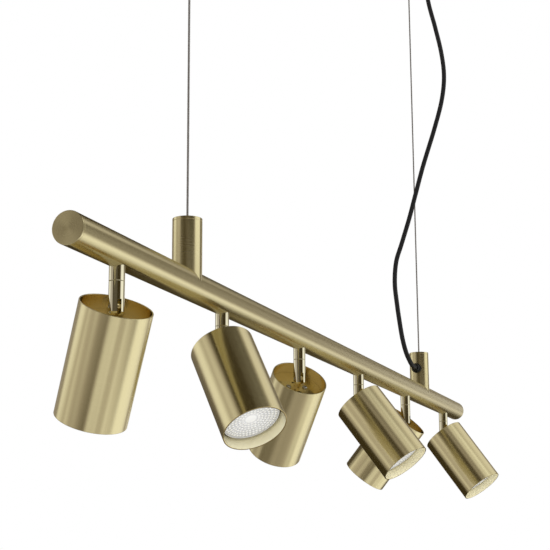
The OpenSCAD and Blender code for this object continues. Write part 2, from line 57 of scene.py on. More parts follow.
# Sizes that pieces share, in millimetres
BAR_R = 12.5            # outside of the bar and of the stems
BORE_R = 11.0
PLUG_R = 10.95          # what fits in their bore
SADDLE_R = 12.55        # what sits on the bar
NECK_R = 4.95           # threads that go through the bar's wall
NECK_HOLE_R = 5.0
STEM_TUBE_TOP = 52.5    # over the bar's axis
STEM_TOP = 55.0
GLAND_HEIGHT = 33
ARM_R = 6
SEAM = -23              # where a fixed collar ends and the turning arm begins
PIVOT_DROP = 42         # from the bar's axis down to a shade's pivot
PIVOT_HOLE_R = 1.55
SHADE_R = 28
SHADE_BORE_R = 26.8
SHADE_TOP, SHADE_END = 0.5, -89.5     # from the pivot, along the shade's own axis
DISC_TOP, DISC_FOOT = -10.5, -12.5
PAINTED_LIGHT_BELOW = -77.5      # where the painted lamplight on a shade's inside begins
POST_Y = 9              # of the posts and screws that carry a lampholder
PIN_X = 5               # of a lamp's two pins
COVER_H = 25
COVER_WALL = 1.2
CUP_R = 17
ROSE_R = 50
GRIP_HOLE_R = 4.0
CORD_Y = -25            # of the cord's bushing in the rose
TERMINAL_Y = 27         # of the terminal block in the rose


# Camera

def make_camera():
    """Camera of the photograph, found by fitting the bar, stems and shades to it."""
    place = (-1.38436, -0.45555, -0.85729)
    yaw, pitch, roll = 1.21234, 0.21766, -0.00537
    data = bpy.data.cameras.new("camera")
    data.lens = 90.0
    data.sensor_width = 36.0
    data.clip_start, data.clip_end = 0.05, 60.0
    ahead = Vector((math.sin(yaw) * math.cos(pitch), math.cos(yaw) * math.cos(pitch),
                    math.sin(pitch)))
    level = Vector((math.cos(yaw), -math.sin(yaw), 0))
    upward = level.cross(ahead)
    right = math.cos(roll) * level + math.sin(roll) * upward
    up = math.cos(roll) * upward - math.sin(roll) * level
    camera = bpy.data.objects.new("camera", data)
    bpy.context.scene.collection.objects.link(camera)
    turn = Matrix((right, up, -ahead)).transposed().to_4x4()
    camera.matrix_world = Matrix.Translation(place) @ turn
    bpy.context.scene.camera = camera


make_camera()


# Shader helpers

def node(tree, kind, inputs=None, **settings):
    """A new shader node. A socket given as an input is linked, anything else is set."""
    made = tree.nodes.new("ShaderNode" + kind)
    for key, value in settings.items():
        setattr(made, key, value)
    for key, value in (inputs or {}).items():
        if isinstance(value, bpy.types.NodeSocket):
            tree.links.new(value, made.inputs[key])
        else:
            made.inputs[key].default_value = value
    return made


def new_material(name):
    """An empty material with a Principled shader that is wired to its output."""
    material = bpy.data.materials.new(name)
    material.use_nodes = True
    tree = material.node_tree
    tree.nodes.clear()
    shader = node(tree, "BsdfPrincipled")
    node(tree, "OutputMaterial", {"Surface": shader.outputs["BSDF"]})
    return material, tree, shader


def colour(rgb):
    """A colour with full alpha, as a socket wants it."""
    return (*rgb, 1.0)


def wire(tree, shader, **sockets):
    """Links outputs to the shader's inputs, named with an underscore for each space."""
    for key, value in sockets.items():
        tree.links.new(value, shader.inputs[key.replace("_", " ")])


def brushed_metal(name, pale, deep, rough, grain, stretch=0.7, relief=0.05, metal=1.0):
    """Metal turned on a lathe: fine grooves run round the piece, so highlights draw out
    along its axis. Its UV is in millimetres, along the axis and then round it, and grain
    is the number of grooves in a millimetre."""
    grooves_along = 0.035   # in a millimetre round the piece, so each is a long stroke
    worn_lift, worn_polish = 1.08, -0.07
    rough_spread = 0.02
    material, tree, shader = new_material(name)
    uv = node(tree, "UVMap", uv_map="turned").outputs["UV"]
    groove_place = node(tree, "Mapping", {"Vector": uv, "Scale": (grain, grooves_along, 1.0)})
    grooves = node(tree, "TexNoise", {"Vector": groove_place.outputs[0], "Scale": 1.0,
                                      "Detail": 3.0, "Roughness": 0.6})
    spots = node(tree, "TexCoord")
    cloud = node(tree, "TexNoise", {"Vector": spots.outputs["Object"], "Scale": 34.0,
                                    "Detail": 3.0})
    patina = node(tree, "Math", {0: grooves.outputs[0], 1: cloud.outputs[0]},
                  operation="MULTIPLY")
    share = node(tree, "MapRange", {"Value": patina.outputs[0], "From Min": 0.10,
                                    "From Max": 0.42})
    tone = node(tree, "Mix", {0: share.outputs[0], 6: colour(deep), 7: colour(pale)},
                data_type="RGBA")
    worn = node(tree, "Attribute", attribute_name="worn")
    bright = node(tree, "Mix", {0: worn.outputs["Fac"], 6: tone.outputs[2],
                                7: colour([min(1.0, c * worn_lift) for c in pale])},
                  data_type="RGBA")
    dull = node(tree, "MapRange", {"Value": grooves.outputs[0], "From Min": 0.3,
                                   "From Max": 0.7, "To Min": rough - rough_spread,
                                   "To Max": rough + rough_spread})
    smoother = node(tree, "Math", {0: worn.outputs["Fac"], 1: worn_polish},
                    operation="MULTIPLY")
    rough_sum = node(tree, "Math", {0: dull.outputs[0], 1: smoother.outputs[0]},
                     operation="ADD")
    bump = node(tree, "Bump", {"Height": grooves.outputs[0], "Strength": relief,
                               "Distance": 0.00005})
    tangent = node(tree, "Tangent", direction_type="UV_MAP", uv_map="turned")
    wire(tree, shader, Base_Color=bright.outputs[2], Roughness=rough_sum.outputs[0],
         Normal=bump.outputs[0], Tangent=tangent.outputs[0])
    shader.inputs["Metallic"].default_value = metal
    shader.inputs["Anisotropic"].default_value = stretch
    return material


def mottled(name, light, dark, metal=0.0, rough=(0.4, 0.5), scale=60.0, bump=0.15,
            depth=0.0001, coat=0.0, specular=0.5):
    """Cast, moulded or plated finish with fine blotches, on the piece's own coordinates."""
    finer = 22      # the relief's grain, against the blotches
    material, tree, shader = new_material(name)
    place = node(tree, "TexCoord").outputs["Object"]
    broad = node(tree, "TexNoise", {"Vector": place, "Scale": scale, "Detail": 5.0,
                                    "Roughness": 0.6})
    fine = node(tree, "TexNoise", {"Vector": place, "Scale": scale * finer, "Detail": 2.0})
    tone = node(tree, "Mix", {0: broad.outputs[0], 6: colour(dark), 7: colour(light)},
                data_type="RGBA")
    dull = node(tree, "MapRange", {"Value": broad.outputs[0], "From Min": 0.3,
                                   "From Max": 0.7, "To Min": rough[0], "To Max": rough[1]})
    relief = node(tree, "Bump", {"Height": fine.outputs[0], "Strength": bump,
                                 "Distance": depth})
    wire(tree, shader, Base_Color=tone.outputs[2], Roughness=dull.outputs[0],
         Normal=relief.outputs[0])
    shader.inputs["Metallic"].default_value = metal
    shader.inputs["Coat Weight"].default_value = coat
    shader.inputs["Specular IOR Level"].default_value = specular
    return material


SATIN_BRASS = brushed_metal("satin_brass_brushed", (0.805, 0.735, 0.440),
                            (0.755, 0.680, 0.385), 0.30, 5.0)
POLISHED_BRASS = brushed_metal("polished_brass_turned", (0.880, 0.850, 0.640),
                               (0.840, 0.800, 0.580), 0.16, 7.0, 0.5)
# Painted shade: the inside brass is darker and warmer than the outside, for the shade in each
# shade's hollow top, on its disc and on its lower edge.
SHADED_INSIDE_BRASS = brushed_metal("inside_brass_painted_shade", (0.800, 0.675, 0.350),
                             (0.750, 0.620, 0.300), 0.22, 4.0)
# Painted light: a shade's inside below the lamp's face is painted pale for the lamp's light
# that falls on it.
LAMPLIT_MOUTH_BRASS = brushed_metal("mouth_brass_painted_lamplight", (0.900, 0.840, 0.590),
                            (0.830, 0.750, 0.480), 0.28, 4.0, 0.3, metal=0.25)
ZINC_STEEL = mottled("zinc_plated_steel", (0.66, 0.66, 0.64), (0.52, 0.53, 0.54), 1.0,
                     (0.28, 0.42), 180.0)
ROPE_STEEL = mottled("steel_rope_wire", (0.66, 0.66, 0.66), (0.56, 0.56, 0.57), 1.0,
                     (0.25, 0.36), 400.0)
BLACK_PLASTIC = mottled("black_moulded_plastic", (0.0060, 0.0060, 0.0062),
                        (0.0035, 0.0035, 0.0036), 0.0, (0.40, 0.50), 300.0, 0.05, 0.00003,
                        specular=0.22)
BLACK_CORD = mottled("black_cord_sheath", (0.0110, 0.0110, 0.0120),
                     (0.0070, 0.0070, 0.0076), 0.0, (0.44, 0.54), 220.0, 0.05, 0.00003,
                     specular=0.28)
WIRE_SHEATH = mottled("wire_sheath_grey", (0.060, 0.060, 0.063), (0.030, 0.030, 0.032),
                      0.0, (0.42, 0.55), 220.0)
CREAM_PLASTIC = mottled("terminal_cream_plastic", (0.78, 0.74, 0.62), (0.70, 0.66, 0.54),
                        0.0, (0.38, 0.50), 160.0)
WHITE_CERAMIC = mottled("steatite_white", (0.82, 0.80, 0.75), (0.74, 0.72, 0.67), 0.0,
                        (0.30, 0.45), 140.0)
LAMP_BODY = mottled("lamp_white_body", (0.84, 0.84, 0.83), (0.78, 0.78, 0.77), 0.0,
                    (0.24, 0.34), 120.0, 0.08, coat=0.3)


def lens_material():
    """Clear moulded plastic over a bright white reflector. Its one attribute is 1 on the lens's
    middle and at the top of a dome and near 0 in the valleys: a painted glow in the middle and
    painted shade in the valleys, which look greyer."""
    material, tree, shader = new_material("lamp_clear_lens")
    place = node(tree, "TexCoord").outputs["Object"]
    cloud = node(tree, "TexNoise", {"Vector": place, "Scale": 240.0, "Detail": 2.0})
    painted_glow_and_shade = node(tree, "Attribute", attribute_name="painted_glow_and_shade")
    # Painted glow and shade: the attribute mixes grey valleys up to a white middle and dome
    # tops.
    tone = node(tree, "Mix", {0: painted_glow_and_shade.outputs["Fac"], 6: colour((0.60, 0.61, 0.63)),
                              7: colour((0.99, 0.99, 0.98))}, data_type="RGBA")
    gloss = node(tree, "MapRange", {"Value": cloud.outputs[0], "To Min": 0.10,
                                    "To Max": 0.18})
    wire(tree, shader, Base_Color=tone.outputs[2], Roughness=gloss.outputs[0])
    shader.inputs["IOR"].default_value = 1.49
    shader.inputs["Coat Weight"].default_value = 0.5
    shader.inputs["Coat Roughness"].default_value = 0.05
    return material


CLEAR_LENS = lens_material()


# Mesh helpers

def turned(outline, steps=96, closed=True):
    """An outline of (radius, height) points turned round Z. An open one ends on the axis."""
    bm = bmesh.new()
    corners = [bm.verts.new((r, 0, z)) for r, z in outline]
    edges = [bm.edges.new(pair) for pair in zip(corners, corners[1:])]
    if closed:
        edges.append(bm.edges.new((corners[-1], corners[0])))
    bmesh.ops.spin(bm, geom=corners + edges, cent=(0, 0, 0), axis=(0, 0, 1),
                   angle=FULL_TURN, steps=steps, use_merge=True)
    bmesh.ops.remove_doubles(bm, verts=bm.verts, dist=1e-4)
    bmesh.ops.recalc_face_normals(bm, faces=bm.faces)
    return bm


def tube(bore, outside, low, high, steps=96):
    """A plain round tube, or a hexagon nut where it has six steps."""
    return turned([(bore, low), (outside, low), (outside, high), (bore, high)], steps)


def block(size, centre):
    """A box of that size, as a cutting tool or as the start of a piece."""
    bm = bmesh.new()
    bmesh.ops.create_cube(bm, size=1.0, matrix=Matrix.Translation(centre)
                          @ Matrix.Diagonal((*size, 1.0)))
    return bm


def plate(outline, low, high):
    """A flat outline of (x, z) points that is as thick as from low to high along Y."""
    bm = bmesh.new()
    side = bm.faces.new([bm.verts.new((x, low, z)) for x, z in outline])
    grown = bmesh.ops.extrude_face_region(bm, geom=[side])["geom"]
    bmesh.ops.translate(bm, vec=(0, high - low, 0),
                        verts=[g for g in grown if isinstance(g, bmesh.types.BMVert)])
    bmesh.ops.recalc_face_normals(bm, faces=bm.faces)
    return bm


def rod(radius, low, high, across="Z", at=(0, 0, 0), segments=48):
    """A round rod from low to high along an axis, as a cutting tool or the start of a piece."""
    turn = {"X": Matrix.Rotation(math.pi / 2, 4, "Y"),
            "Y": Matrix.Rotation(-math.pi / 2, 4, "X"), "Z": Matrix()}[across]
    bm = bmesh.new()
    bmesh.ops.create_cone(bm, cap_ends=True, segments=segments, radius1=radius,
                          radius2=radius, depth=high - low,
                          matrix=Matrix.Translation(at) @ turn
                          @ Matrix.Translation((0, 0, (low + high) / 2)))
    return bm


def join(bm, *others):
    """The other meshes go into bm."""
    for other in others:
        spare = bpy.data.meshes.new("spare")
        other.to_mesh(spare)
        other.free()
        bm.from_mesh(spare)
        bpy.data.meshes.remove(spare)
    return bm


def in_row(make, places):
    """One mesh with the shape that make gives at each place along the bar."""
    shapes = []
    for x in places:
        shape = make()
        shape.transform(Matrix.Translation((x * 1000, 0, 0)))
        shapes.append(shape)
    return join(*shapes)


def cut(bm, *tools):
    """Takes the tools' volumes out of bm. Tools of one call may not cross each other."""
    spare = []
    for source in (bm, join(*tools)):
        mesh = bpy.data.meshes.new("spare")
        source.to_mesh(mesh)
        thing = bpy.data.objects.new("spare", mesh)
        bpy.context.scene.collection.objects.link(thing)
        spare.append(thing)
    tools[0].free()
    saw = spare[0].modifiers.new("saw", "BOOLEAN")
    saw.operation, saw.solver, saw.object = "DIFFERENCE", "EXACT", spare[1]
    bpy.context.view_layer.update()
    sawn = spare[0].evaluated_get(bpy.context.evaluated_depsgraph_get())
    result = bpy.data.meshes.new_from_object(sawn)
    if not result.polygons:
        raise ValueError("a cut left nothing of its piece")
    bm.clear()
    bm.from_mesh(result)
    bpy.data.meshes.remove(result)
    for thing in spare:
        mesh = thing.data
        bpy.data.objects.remove(thing)
        bpy.data.meshes.remove(mesh)
    bmesh.ops.remove_doubles(bm, verts=bm.verts, dist=1e-3)
    bmesh.ops.dissolve_degenerate(bm, edges=bm.edges, dist=1e-3)
    return bm


def cross_slot(screw, length, width, depth, height):
    """Two slots across a screw's head, cut one after the other because they cross."""
    for size in ((length, width, depth), (width, length, depth)):
        cut(screw, block(size, (0, 0, height)))


def soften(bm, width, segments=3, above=40, where=lambda edge: True):
    """Rounds the edges that turn by more than above degrees, and marks them as worn."""
    worn = bm.verts.layers.float.get("worn") or bm.verts.layers.float.new("worn")
    sharp = [e for e in bm.edges if e.is_manifold and where(e)
             and e.calc_face_angle(0) > math.radians(above)]
    made = bmesh.ops.bevel(bm, geom=sharp, offset=width, offset_type="OFFSET",
                           affect="EDGES", segments=segments, profile=0.5, material=-1,
                           clamp_overlap=True)
    for vert in made["verts"]:
        vert[worn] = 1.0
    return bm


def saddle(bm, verts, side):
    """Seats these points of an upright tube on the round bar, above (1) or below (-1)."""
    for vert in verts:
        vert.co.z = side * math.sqrt(max(0.0, SADDLE_R ** 2 - vert.co.y ** 2))


def turned_uv(bm, radius):
    """UV in millimetres: along the axis, or outwards on a flat face, and then round it."""
    on_axis = 1e-4      # nearer than this a point has no bearing of its own
    layer = bm.loops.layers.uv.new("turned")
    for face in bm.faces:
        middle = face.calc_center_median()
        lead = math.atan2(middle.y, middle.x)
        flat = abs(face.normal.z) > 0.7
        for loop in face.loops:
            x, y, z = loop.vert.co
            out = math.hypot(x, y)
            turn = math.atan2(y, x) if out > on_axis else lead
            turn = lead + (turn - lead + math.pi) % FULL_TURN - math.pi
            loop[layer].uv = (out if flat else z, turn * radius)
    return bm


def piece(bm, name, body, material, stands_for=(), place=Matrix(), uv_radius=None):
    """Puts a mesh drawn in millimetres in its place, and makes it ride on its body."""
    smooth_below = math.radians(38)
    bm.normal_update()
    if uv_radius:
        turned_uv(bm, uv_radius)
    for face in bm.faces:
        face.smooth = True
    for edge in bm.edges:
        edge.smooth = edge.is_manifold and edge.calc_face_angle(0) < smooth_below
    bm.transform(place @ Matrix.Scale(MM, 4))
    mesh = bpy.data.meshes.new(name)
    bm.to_mesh(mesh)
    bm.free()
    mesh.materials.append(material)
    made = bpy.data.objects.new(name, mesh)
    bpy.context.scene.collection.objects.link(made)
    even = made.modifiers.new("even_shading", "WEIGHTED_NORMAL")
    even.keep_sharp = True
    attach(made, body)
    if stands_for:
        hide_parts(*stands_for)
    return made


def curve_through(points, step):
    """Smooth path through the route's points, with its own points about step apart."""
    path = [Vector(points[0])]
    for i in range(len(points) - 1):
        before, a, b, after = (Vector(points[max(0, min(len(points) - 1, i + k))])
                               for k in (-1, 0, 1, 2))
        parts = max(1, round((b - a).length / step))
        for k in range(1, parts + 1):
            t = k / parts
            path.append(0.5 * (2 * a + (b - before) * t
                               + (2 * before - 5 * a + 4 * b - after) * t * t
                               + (3 * a - before - 3 * b + after) * t ** 3))
    return path


def swept(path, radius, sides, aside):
    """A round tube along the path: one ring, extruded from point to point."""
    bm = bmesh.new()
    ring = bmesh.ops.create_circle(bm, segments=sides, radius=radius)["verts"]
    edges = list(bm.edges)
    last = Matrix()
    for i, point in enumerate(path):
        ahead = (path[min(i + 1, len(path) - 1)] - path[max(i - 1, 0)]).normalized()
        u = ahead.cross(Vector(aside)).normalized()
        here = Matrix((u, ahead.cross(u), ahead)).transposed().to_4x4()
        here.translation = point
        if i:
            grown = bmesh.ops.extrude_edge_only(bm, edges=edges)["geom"]
            ring = [g for g in grown if isinstance(g, bmesh.types.BMVert)]
            edges = [g for g in grown if isinstance(g, bmesh.types.BMEdge)
                     and all(v in ring for v in g.verts)]
        bmesh.ops.transform(bm, matrix=here @ last.inverted(), verts=ring)
        last = here
    bmesh.ops.holes_fill(bm, edges=[e for e in bm.edges if e.is_boundary], sides=0)
    bmesh.ops.recalc_face_normals(bm, faces=bm.faces)
    return bm


def on_bar(x):
    """The place on the bar's axis that is x metres from its middle."""
    return Matrix.Translation((x, 0, BAR_HEIGHT))


def at_arm(i):
    """The same over arm i, turned with it."""
    return on_bar(LAMP_X[i - 1]) @ Matrix.Rotation(math.radians(SWIVEL_DEG[i - 1]), 4, "Z")


def at_head(i):
    """The pivot of shade i, with the axes of the tilted shade."""
    return (at_arm(i) @ Matrix.Translation((0, 0, -PIVOT_DROP * MM))
            @ Matrix.Rotation(-math.radians(TILT_DEG[i - 1]), 4, "Y"))


# Mains cord and ropes, in millimetres in the part's frame

CORD_ROUTE = [
    (354, 0, -587), (348, 0, -587), (340, 1, -585), (332, 2, -580), (326, 4, -572),
    (323, 6, -562), (324, 9, -548), (329, 13, -528), (334, 17, -505), (340, 21, -475),
    (346, 20, -445), (350, 13, -420), (355, 3, -385), (359, -6, -350), (362, -17, -310),
    (365, -33, -260), (367, -44, -220), (369, -48, -185), (371, -45, -150),
    (373, -37, -110), (374, -29, -75), (375, -25, -47), (375, -25, -36), (375, -25, -28)]
CORD_D = 6.0
ROPE_D = 2.0
ROPE_LOW, ROPE_HIGH = -581.0, -5.0


def mains_cord():
    """Round cord from the gland up to the bushing in the rose."""
    path = curve_through(CORD_ROUTE, 5)
    cord = piece(swept(path, CORD_D / 2, 20, (0, 1, 0)), "mains_cord", "fixture",
                 BLACK_CORD, ["power_cord"])


def wire_rope(side, name, node_name):
    """Six strands laid round a straight core."""
    strands = 6
    strand_r = ROPE_D / 6
    lay, per_lay = 13.0, 12     # length of one turn of a strand, and its steps
    steps = round((ROPE_HIGH - ROPE_LOW) / lay * per_lay)
    strand = bmesh.new()
    bmesh.ops.create_circle(strand, segments=7, radius=strand_r * 1.02,
                            matrix=Matrix.Translation((2 * strand_r, 0, ROPE_LOW)))
    bmesh.ops.spin(strand, geom=list(strand.verts) + list(strand.edges), cent=(0, 0, 0),
                   axis=(0, 0, 1), dvec=(0, 0, (ROPE_HIGH - ROPE_LOW) / steps),
                   angle=FULL_TURN / per_lay * steps, steps=steps)
    rope = bmesh.new()
    for _ in range(strands):
        join(rope, strand.copy())
        bmesh.ops.rotate(rope, verts=rope.verts, cent=(0, 0, 0),
                         matrix=Matrix.Rotation(FULL_TURN / strands, 3, "Z"))
    strand.free()
    join(rope, rod(strand_r, ROPE_LOW, ROPE_HIGH, segments=8))
    bmesh.ops.holes_fill(rope, edges=[e for e in rope.edges if e.is_boundary], sides=0)
    bmesh.ops.recalc_face_normals(rope, faces=rope.faces)
    x = side * ROPE_X
    made = piece(rope, name, "fixture", ROPE_STEEL, [node_name],
                 Matrix.Translation((x, 0, 0)))


mains_cord()
wire_rope(-1, "left_wire_rope", "left_cable")
wire_rope(1, "right_wire_rope", "right_cable")


# Bar and stems

def brass_bar():
    """The bar's tube, with a hole for each neck that goes through its wall."""
    half = 573.0
    along = Matrix.Rotation(math.pi / 2, 4, "Y")
    bar = soften(tube(BORE_R, BAR_R, -half, half), 0.15, 2)
    holes = [rod(NECK_HOLE_R, 2, 16, "X", (0, 0, x * 1000)) for x in LAMP_X]
    holes += [rod(NECK_HOLE_R, -16, -2, "X", (0, 0, x * 1000)) for x in ROPES]
    cut(bar, *holes)
    piece(bar, "brass_bar", "fixture", SATIN_BRASS, ["bar_tube"],
          on_bar(0) @ along, BAR_R)


def end_disc(side, name, node_name):
    """Flat cap on the bar's end, with a plug in its bore."""
    disc = turned([(0, 0), (BAR_R, 0), (BAR_R, -2), (PLUG_R, -2), (PLUG_R, -10), (0, -10)],
                  closed=False)
    soften(disc, 0.3)
    piece(disc, name, "fixture", SATIN_BRASS, [node_name],
          on_bar(side * BAR_END) @ Matrix.Rotation(side * math.pi / 2, 4, "Y"), BAR_R)


def stem(side, name, node_name):
    """Short upright tube, cut at its foot to sit on the bar, with a web inside."""
    web_low, web_high = 14.5, 19.5
    upright = tube(BORE_R, BAR_R, 0, STEM_TUBE_TOP)
    soften(upright, 0.12, 2, where=lambda e: e.verts[0].co.z > 50)
    saddle(upright, [v for v in upright.verts if v.co.z < 1], 1)
    if side > 0:
        cut(upright, rod(4.0, -20, 0, "X", (0, 0, GLAND_HEIGHT)))
    # The web goes in after the cut, which may lose a shape that crosses another
    join(upright, tube(NECK_HOLE_R, BORE_R + 0.01, web_low, web_high, 48))
    piece(upright, name, "fixture", SATIN_BRASS, [node_name],
          on_bar(side * ROPE_X), BAR_R)


def stem_top_disc():
    """Cap of a stem, with a hole for the rope."""
    disc = turned([(1.15, 48.5), (PLUG_R, 48.5), (PLUG_R, STEM_TUBE_TOP),
                   (BAR_R, STEM_TUBE_TOP), (BAR_R, STEM_TOP), (1.15, STEM_TOP)])
    soften(disc, 0.3)
    disc.normal_update()
    return turned_uv(disc, BAR_R)


def swivel_bush():
    """Fixed collar of a swivel. Its neck goes through the bar's wall."""
    seat = -11
    bush = turned([(3.55, SEAM), (ARM_R, SEAM), (ARM_R, seat), (NECK_R, seat),
                   (NECK_R, -4.44), (3.55, -4.44)], 64)
    soften(bush, 0.35, where=lambda e: all(v.co.z < SEAM + 1 for v in e.verts))
    saddle(bush, [v for v in bush.verts if abs(v.co.z - seat) < 0.1], -1)
    bush.normal_update()
    return turned_uv(bush, ARM_R)


brass_bar()
end_disc(-1, "left_end_disc", "left_end_cap")
end_disc(1, "right_end_disc", "right_end_cap")
stem(-1, "left_stem_tube", "left_stem")
stem(1, "right_stem_tube", "right_stem")
piece(in_row(stem_top_disc, ROPES), "stem_top_discs", "fixture", SATIN_BRASS,
      ["stem_caps"], on_bar(0))
piece(in_row(swivel_bush, LAMP_X), "swivel_bushes", "fixture", POLISHED_BRASS,
      ["swivel_collars"], on_bar(0))


# Gland and ceiling covers

def gland():
    """Black gland with a saddle on the stem, a short taper for the cord, and its lock nut."""
    flange_r = 6.3
    body = turned([(0, 21), (4.2, 21), (5.3, 16.75), (flange_r, 16.75), (flange_r, 10),
                   (0, 10)], 64, closed=False)
    saddle(body, [v for v in body.verts if v.co.z < 11], 1)
    soften(body, 0.45, where=lambda e: min(v.co.z for v in e.verts) > 14)
    neck = turned([(0, 12.0), (3.95, 12.0), (3.95, 5.5), (0, 5.5)], 32, closed=False)
    nut = soften(tube(4.0, flange_r, 6.5, 9.0, 6), 0.2, 2)
    towards = (Matrix.Translation((ROPE_X, 0, GLAND_HEIGHT * MM))
               @ Matrix.Rotation(-math.pi / 2, 4, "Y"))
    piece(join(body, neck, nut), "cord_gland_body", "fixture", BLACK_PLASTIC,
          ["cord_gland"], on_bar(0) @ towards)


def cover(radius, steps=96):
    """A round ceiling cover, open above, with a hole for the rope's grip."""
    inside, floor = radius - COVER_WALL, COVER_WALL - COVER_H
    return turned([(GRIP_HOLE_R, -COVER_H), (radius, -COVER_H), (radius, 0), (inside, 0),
                   (inside, floor), (GRIP_HOLE_R, floor)], steps)


def ceiling_covers():
    """The small cup over the left rope, and the rose over the right one and the cord."""
    cup = soften(cover(CUP_R), 0.35)
    piece(cup, "anchor_cup_cover", "fixture", SATIN_BRASS, ["anchor_cup"],
          Matrix.Translation((-ROPE_X, 0, 0)), CUP_R)
    rose = soften(cover(ROSE_R, 160), 0.4)
    cut(rose, rod(4.95, -27, -22, at=(0, CORD_Y, 0)), rod(1.6, -27, -22, at=(0, TERMINAL_Y, 0)))
    piece(rose, "rose_cover", "fixture", SATIN_BRASS, ["ceiling_rose"],
          Matrix.Translation((ROPE_X, 0, 0)), ROSE_R)


def rope_grip(side, name, node_name):
    """Cable grip under its cover, with the sleeve that releases the rope."""
    grip = turned([(1.15, -41), (3.5, -41), (3.5, -37), (6, -37), (6, -25), (3.95, -25),
                   (3.95, -6), (1.15, -6)], 64)
    soften(grip, 0.4)
    if side > 0:
        join(grip, soften(tube(4.0, 7.5, -11, -7, 6), 0.3, 2))
    piece(grip, name, "fixture", POLISHED_BRASS, [node_name],
          Matrix.Translation((side * ROPE_X, 0, 0)), 6)


def cord_bushing():
    """Bushing that takes the cord through the rose's floor, with its nut above."""
    bush = turned([(0, -28), (6.9, -28), (6.9, -COVER_H), (4.9, -COVER_H), (4.9, -20.8),
                   (0, -20.8)], 64, closed=False)
    soften(bush, 0.6, where=lambda e: max(v.co.z for v in e.verts) < -24)
    nut = soften(tube(4.95, 7.4, COVER_WALL - COVER_H, -21.8, 6), 0.25, 2)
    piece(join(bush, nut), "rose_bushing", "fixture", BLACK_PLASTIC,
          ["rose_cord_bushing"], Matrix.Translation((ROPE_X, CORD_Y * MM, 0)))


gland()
ceiling_covers()
rope_grip(-1, "left_rope_grip", "left_cable_grip")
rope_grip(1, "right_rope_grip", "right_cable_grip")
cord_bushing()


# Arms

def arm_tube(i):
    """Polished arm with a chamfered, slotted end, its journal and its ring nut."""
    foot, shoulder, journal_r, journal_top = -47.5, SEAM - 0.2, 3.5, -1.44
    wire_r, wire_end = 2, -37.3
    pivot = (0, 0, -PIVOT_DROP)
    arm = turned([(0, foot), (4.8, foot), (ARM_R, foot + 1.2), (ARM_R, shoulder),
                  (journal_r, shoulder), (journal_r, journal_top), (wire_r, journal_top),
                  (wire_r, wire_end), (0, wire_end)], 64, closed=False)
    slot = block((16, 3, 12), (0, 0, -43))
    hole = rod(PIVOT_HOLE_R, -8, 8, "Y", pivot)
    recess = rod(2.6, -9, -4.6, "Y", pivot)
    for tool in (slot, hole, recess):
        cut(arm, tool)

    def on_wire_bore(vert):
        """Whether a point is on the bore for the wires, whose edges stay sharp."""
        return vert.co.z > wire_end - 0.1 and math.hypot(vert.co.x, vert.co.y) < wire_r + 0.05

    soften(arm, 0.18, 2, above=35, where=lambda e: max(v.co.z for v in e.verts) < SEAM - 1
           and not all(on_wire_bore(v) for v in e.verts))
    soften(arm, 0.35, where=lambda e: all(SEAM - 1 < v.co.z < SEAM for v in e.verts))
    join(arm, soften(tube(3.55, NECK_R, -4.24, -2.24, 48), 0.2, 2))
    piece(arm, f"arm_tube_{i}", f"swivel_{i}", POLISHED_BRASS,
          [f"arm_{i}"], at_arm(i), ARM_R)


def pivot_bolt(i):
    """Slotted screw that the shade tilts on. It is drawn upright, with its head below."""
    shank_r, head_r = 1.5, 2.5
    bolt = turned([(0, -5.6), (2.0, -5.6), (head_r, -5.2), (head_r, -4.6), (shank_r, -4.6),
                   (shank_r, 5.5), (0, 5.5)], 40, closed=False)
    cut(bolt, block((7, 0.8, 1.5), (0, 0, -5.85)))
    soften(bolt, 0.1, 2)
    upright = (at_arm(i) @ Matrix.Translation((0, 0, -PIVOT_DROP * MM))
               @ Matrix.Rotation(-math.pi / 2, 4, "X"))
    piece(bolt, f"pivot_bolt_{i}", f"swivel_{i}", ZINC_STEEL,
          [f"pivot_screw_{i}"], upright)


# Heads

def shade_tube(i):
    """The shade, brushed outside, painted darker inside and on its lower edge as shade, and
    painted pale below the lamp's face for the lamp's light on it."""
    shell = turned([(SHADE_BORE_R, SHADE_END), (SHADE_R, SHADE_END), (SHADE_R, SHADE_TOP),
                    (SHADE_BORE_R, SHADE_TOP), (SHADE_BORE_R, -10),
                    (SHADE_BORE_R, PAINTED_LIGHT_BELOW)], 144)
    soften(shell, 0.34)
    made = piece(shell, f"shade_tube_{i}", f"head_{i}", SATIN_BRASS,
                 [f"shade_{i}"], at_head(i), SHADE_R)
    made.data.materials.append(SHADED_INSIDE_BRASS)
    made.data.materials.append(LAMPLIT_MOUTH_BRASS)
    inverse = Matrix.Scale(1 / MM, 4) @ at_head(i).inverted()
    # Faces inside above the lamp and on the lower edge take the painted shade; those below the
    # lamp's face take the painted lamplight.
    for face in made.data.polygons:
        here = inverse @ face.center
        if here.z < SHADE_END + 0.2:
            face.material_index = 1
        elif math.hypot(here.x, here.y) < SHADE_BORE_R + 0.1:
            face.material_index = 1 if here.z > PAINTED_LIGHT_BELOW else 2


def shade_disc(i):
    """Inner disc with two vents, and the lug that the arm's slot takes."""
    disc_r, vent_x = SHADE_BORE_R - 0.05, 8
    lug_r, lug_foot, lug_half = 4.0, -10.8, 1.4
    disc = turned([(0, DISC_FOOT), (disc_r, DISC_FOOT), (disc_r, DISC_TOP), (0, DISC_TOP)],
                  closed=False)
    cut(disc, *[block((2, 5, 6), (x, 0, -11.5)) for x in (vent_x, -vent_x)])
    soften(disc, 0.2, 2)
    arc_steps = 24
    round_end = [(lug_r * math.cos(math.pi * k / arc_steps),
                  lug_r * math.sin(math.pi * k / arc_steps)) for k in range(arc_steps + 1)]
    lug = plate([(-lug_r, lug_foot), (lug_r, lug_foot)] + round_end, -lug_half, lug_half)
    cut(lug, rod(PIVOT_HOLE_R, -3, 3, "Y"))
    soften(lug, 0.15, 2, where=lambda e: min(v.co.z for v in e.verts) > -10)
    # The disc takes the darker inside brass: painted shade.
    piece(join(disc, lug), f"shade_disc_{i}", f"head_{i}", SHADED_INSIDE_BRASS,
          [f"head_plate_{i}"], at_head(i), 27)


